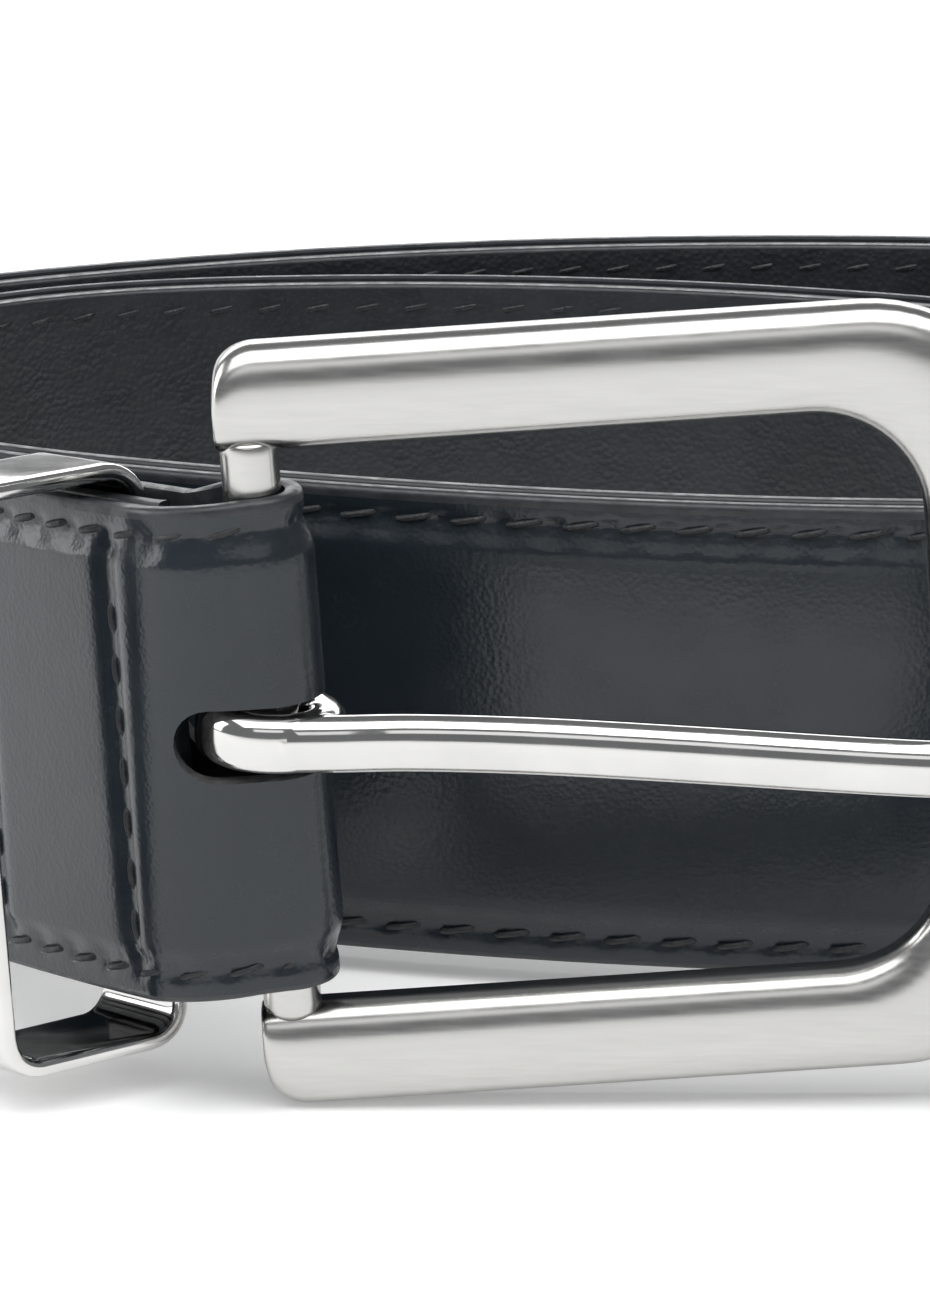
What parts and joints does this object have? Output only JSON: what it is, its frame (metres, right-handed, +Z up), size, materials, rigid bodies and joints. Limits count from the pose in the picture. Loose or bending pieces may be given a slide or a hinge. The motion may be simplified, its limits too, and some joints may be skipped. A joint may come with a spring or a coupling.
{
  "type": "leather belt",
  "caption": "Smooth black leather dress belt with stitched edges, satin prong buckle and polished metal keeper, coiled on its edge as shown for display",
  "frame": {"origin": "bottom centre of the coiled belt's bounding box, on the surface it stands on", "axes": "+Z up across the strap's width, +X from the hinge bar to the buckle's free end, +Y away from the buckle's face"},
  "size_m": [0.2274, 0.1218, 0.0573],
  "materials": {
    "grain_leather": "smooth polished black calf, fine grain",
    "lining_leather": "smooth dull black lining",
    "core_board": "matt split leather",
    "thread": "waxed black thread",
    "satin_steel": "satin brushed along the arms",
    "polished_steel": "polished"
  },
  "bodies": {
    "strap": {"outer_leather": "grain_leather", "strap_core": "core_board", "lining_leather": "lining_leather", "needle_thread": "thread", "bobbin_thread": "thread", "fold_stitch_front": "thread", "fold_stitch_back": "thread", "flap_stitch_front": "thread", "flap_stitch_back": "thread"},
    "buckle": {"buckle_frame": "satin_steel", "hinge_bar": "satin_steel"},
    "prong": {"prong": "polished_steel"},
    "keeper": {"keeper_ring": "polished_steel"}
  },
  "joints": [
    {"name": "buckle_hinge", "type": "hinge", "parent": "strap", "child": "buckle", "pos_m": [-0.06499, -0.05505, 0.02729], "axis": [-0.0689, 0, 0.9976], "range_deg": [-40, 12]},
    {"name": "prong_hinge", "type": "hinge", "parent": "buckle", "child": "prong", "pos_m": [-0.06499, -0.05505, 0.02729], "axis": [-0.0689, 0, 0.9976], "range_deg": [-65, 0]},
    {"name": "keeper_slide", "type": "slide", "parent": "strap", "child": "keeper", "axis": [-0.5929, 0.7962, -0.1206], "range_m": [-0.0008, 0.0008]}
  ]
}
